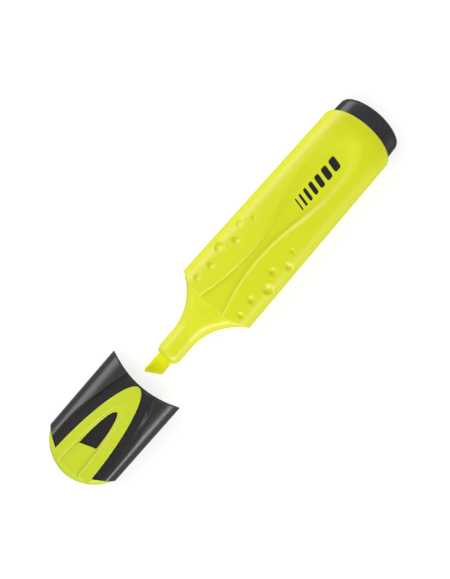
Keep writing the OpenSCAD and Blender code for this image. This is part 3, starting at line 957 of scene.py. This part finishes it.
# %% Starting a material
def new_material(name):
    """A material with a Principled shader: returns it, its shader, and the position in millimetres."""
    material = bpy.data.materials.new(name)
    material.use_nodes = True
    tree = material.node_tree
    shader = tree.nodes["Principled BSDF"]
    place = Wire(tree, None).node("ShaderNodeTexCoord", output="Object").stretched(1000, 1000, 1000)
    return material, shader, place


def connect(shader, **wires):
    """Links wires to the shader's sockets, named with _ for a space."""
    for name, wire in wires.items():
        wire.tree.links.new(wire.socket, shader.inputs[name.replace("_", " ")])


def opaque(colour):
    """A colour with an alpha of 1."""
    return (*colour, 1.0)


print("patterns read Object coordinates in millimetres, so they don't slide when a piece moves")

# %% [markdown]
# ## Moulded plastic
#
# The yellow parts are a plastic such as polypropylene with a fluorescent dye. Its surface has a satin
# gloss, a fine spark-eroded texture, faint flow lines along the pen and slightly uneven dye, and its
# rims rub lighter. The black parts have a coarser grain and fine handling scratches. Images could
# show all this, but they need a UV layout on every piece and blur close up. So the patterns are noise
# in real millimetres, and the rubbed places come from the wear value that the mesh helper stored.

# %% Plastic
def plastic(name, colour, tint, roughness, grain=0.012, streaks=0.03, scratches=0.0, pale=0.12,
            gloss=0.5, gleam=(1.0, 1.0, 1.0, 1.0)):
    """Moulded plastic: colour drifts towards tint in soft clouds, and roughness and height have grain."""
    material, shader, place = new_material(name)
    cloud = place.noise(0.07, 3.0)
    flow = place.stretched(0.05, 0.9, 0.9).noise(1.0, 3.0)
    speck = place.noise(2.6, 2.0)
    share = cloud.band(0.3, 0.7) * 0.5 + (flow - 0.5) * streaks * 8 + (speck - 0.5) * 0.12
    base = share.mix(opaque(colour), opaque(tint))
    worn = place.node("ShaderNodeAttribute", {"attribute_name": "wear"}, output="Fac")
    rubbed = worn * place.noise(0.8, 4.0).band(0.35, 0.7)
    colour_out = (rubbed * pale).mix(base, (0.85, 0.86, 0.7, 1.0))
    height = place.noise(3.5, 2.0) * 0.6 + place.noise(0.35, 1.0) * 0.9
    rough = roughness + (speck - 0.5) * 0.10 + (flow - 0.5) * 0.05 + rubbed * 0.06
    if scratches:
        lines = place.stretched(0.10, 7.0, 7.0).noise(1.0, 1.0).band(0.66, 0.74)
        lines = lines * place.noise(0.12, 2.0).band(0.5, 0.62)
        rough = rough + lines * scratches
        height = height - lines * 0.4
    connect(shader, Base_Color=colour_out, Roughness=rough, Normal=height.bump(grain * MM))
    shader.inputs["IOR"].default_value = 1.49
    shader.inputs["Specular IOR Level"].default_value = gloss
    shader.inputs["Specular Tint"].default_value = gleam
    return material


GLEAM = (1.0, 0.4, 0.9, 1.0)      # less green, so that gleams don't turn the yellow greener
yellow_barrel = plastic("yellow_barrel_plastic", (0.68, 0.745, 0.008), (0.65, 0.73, 0.006), 0.36,
                        gloss=0.75, gleam=GLEAM)
yellow_cap = plastic("yellow_cap_plastic", (0.555, 0.66, 0.018), (0.525, 0.64, 0.015), 0.38,
                     gloss=0.7, gleam=GLEAM)
black_plastic = plastic("black_plastic", (0.017, 0.0155, 0.019), (0.022, 0.0205, 0.024), 0.33, grain=0.02,
                        streaks=0.02, scratches=0.06, pale=0.05, gloss=0.8)
pale_plastic = plastic("pale_soft_plastic", (0.80, 0.80, 0.74), (0.76, 0.77, 0.66), 0.5)
print("nodes in the barrel's plastic:", len(yellow_barrel.node_tree.nodes),
      "and in the black:", len(black_plastic.node_tree.nodes))

# %% [markdown]
# ## Felt, fibre, film and ink
#
# Pressed felt is matt, and its fine fibres run along the nib. Hair could make real fibres, but they
# are so thin that they only show as streaks. So they are noise stretched along X, in colour and in
# height. The reservoir is crimped fibre soaked in the same ink, and the film round it is a glossier
# plastic. Printed ink isn't quite closed: it is nearly black, with pinholes of a lighter tone.

# %% Felt and ink
def felt(name, colour, dark, along):
    """Bonded fibres: long streaks along X in colour and height, over a matt surface."""
    material, shader, place = new_material(name)
    fibres = place.stretched(along, 6.0, 6.0).noise(1.0, 3.0, 0.6)
    lumps = place.noise(0.7, 3.0)
    share = fibres.band(0.35, 0.7) * 0.6 + lumps.band(0.4, 0.7) * 0.3
    height = fibres * 0.7 + place.noise(5.0, 2.0) * 0.5
    connect(shader, Base_Color=share.mix(opaque(colour), opaque(dark)),
            Roughness=0.74 + lumps * 0.2, Normal=height.bump(0.05 * MM))
    shader.inputs["Specular IOR Level"].default_value = 0.2
    return material


def ink_print(name, colour):
    """Pad-printed ink: nearly black, with tiny pinholes of a lighter tone."""
    material, shader, place = new_material(name)
    holes = place.noise(6.0, 2.0).band(0.62, 0.75)
    connect(shader, Base_Color=(holes * 0.25).mix(opaque(colour), (0.12, 0.12, 0.10, 1.0)),
            Roughness=0.42 + place.noise(1.5, 2.0) * 0.15)
    return material


nib_felt = felt("nib_felt", (0.82, 0.83, 0.012), (0.66, 0.72, 0.006), 0.5)
reservoir_felt = felt("reservoir_fibre", (0.74, 0.78, 0.09), (0.6, 0.66, 0.05), 0.3)
film_plastic = plastic("clear_film", (0.78, 0.8, 0.6), (0.74, 0.77, 0.5), 0.2)
mark_ink = ink_print("printed_ink", (0.008, 0.007, 0.013))
print("nodes in the felt:", len(nib_felt.node_tree.nodes), "and in the ink:", len(mark_ink.node_tree.nodes))

# %% [markdown]
# ## Giving the pieces their finishes
#
# Every piece is moulded or cut from one stuff, so it gets one material. The reservoir and its film
# could have skins too, but they are sealed in the barrel: they keep the packed meshes, and only their
# material changes.

# %% Finishes
for piece, material in [(barrel, yellow_barrel), (nib, nib_felt), (plug, black_plastic),
                        (sleeve, black_plastic), (dome, yellow_cap), (clip, yellow_cap),
                        (cup, pale_plastic)]:
    piece.data.materials.append(material)
for piece in strokes:
    piece.data.materials.append(mark_ink)
for node, material in [("reservoir_fibre", reservoir_felt), ("reservoir_film", film_plastic)]:
    fixed = frame["nodes"][node]
    fixed.data.materials.clear()
    fixed.data.materials.append(material)
print("the nib is", nib.data.materials[0].name, "and the clip", clip.data.materials[0].name)

# %% [markdown]
# ## Floor and light
#
# The pen lies on a near-white table, as in a catalogue. A white plane would do, but light enough to
# whiten it would also bleach the yellow. So the table is grey and glows a little by itself. Two soft
# boxes stand low: the larger on the +Y side gives the broad bright band along that flank, and the
# narrower on the -Y side, towards the cap's end, lifts the far edge. A third hangs high up and fills
# the upper faces without being mirrored in them. The world light does the rest.

# %% Floor
FLOOR_HALF = 6
FLOOR_GLOW = 0.74

floor_mesh = bpy.data.meshes.new("floor")
corners = [(-1, -1), (1, -1), (1, 1), (-1, 1)]
floor_mesh.from_pydata([(x * FLOOR_HALF, y * FLOOR_HALF, 0) for x, y in corners], [], [(0, 1, 2, 3)])
floor = bpy.data.objects.new("floor", floor_mesh)
bpy.context.scene.collection.objects.link(floor)
floor_material, floor_shader, floor_place = new_material("pale_table")
connect(floor_shader, Base_Color=floor_place.noise(0.01, 2.0).mix(opaque((0.33,) * 3), opaque((0.35,) * 3)))
floor_shader.inputs["Roughness"].default_value = 0.9
floor_shader.inputs["Specular IOR Level"].default_value = 0.1
floor_shader.inputs["Emission Color"].default_value = (1, 1, 1, 1)
floor_shader.inputs["Emission Strength"].default_value = FLOOR_GLOW
floor_mesh.materials.append(floor_material)
floor.visible_glossy = False
print("table:", 2 * FLOOR_HALF, "m square, glowing at", FLOOR_GLOW)


# %% Lights
def soft_box(name, place, size, power, aim=(0, 0, 0.008)):
    """An area light at place, turned towards aim."""
    data = bpy.data.lights.new(name, "AREA")
    data.shape = "RECTANGLE"
    data.size, data.size_y = size
    data.energy = power
    light = bpy.data.objects.new(name, data)
    light.location = place
    light.rotation_mode = "QUATERNION"
    light.rotation_quaternion = (Vector(aim) - Vector(place)).to_track_quat("-Z", "Y")
    bpy.context.scene.collection.objects.link(light)
    print(f"{name}: {power} W from {size} m")
    return light


soft_box("key_soft_box", (0.05, 0.70, 0.36), (1.0, 0.50), 4.7)
soft_box("fill_soft_box", (-0.38, -0.68, 0.29), (0.8, 0.2), 5.6)
high_box = soft_box("high_soft_box", (-0.20, 0.22, 1.02), (0.8, 0.5), 4.2)
high_box.visible_glossy = False

world = bpy.data.worlds.new("studio")
world.use_nodes = True
world.node_tree.nodes["Background"].inputs["Color"].default_value = (1, 1, 1, 1)
world.node_tree.nodes["Background"].inputs["Strength"].default_value = 0.25
bpy.context.scene.world = world
bpy.context.scene.view_settings.view_transform = "Standard"
bpy.context.scene.view_settings.look = "None"

# %% [markdown]
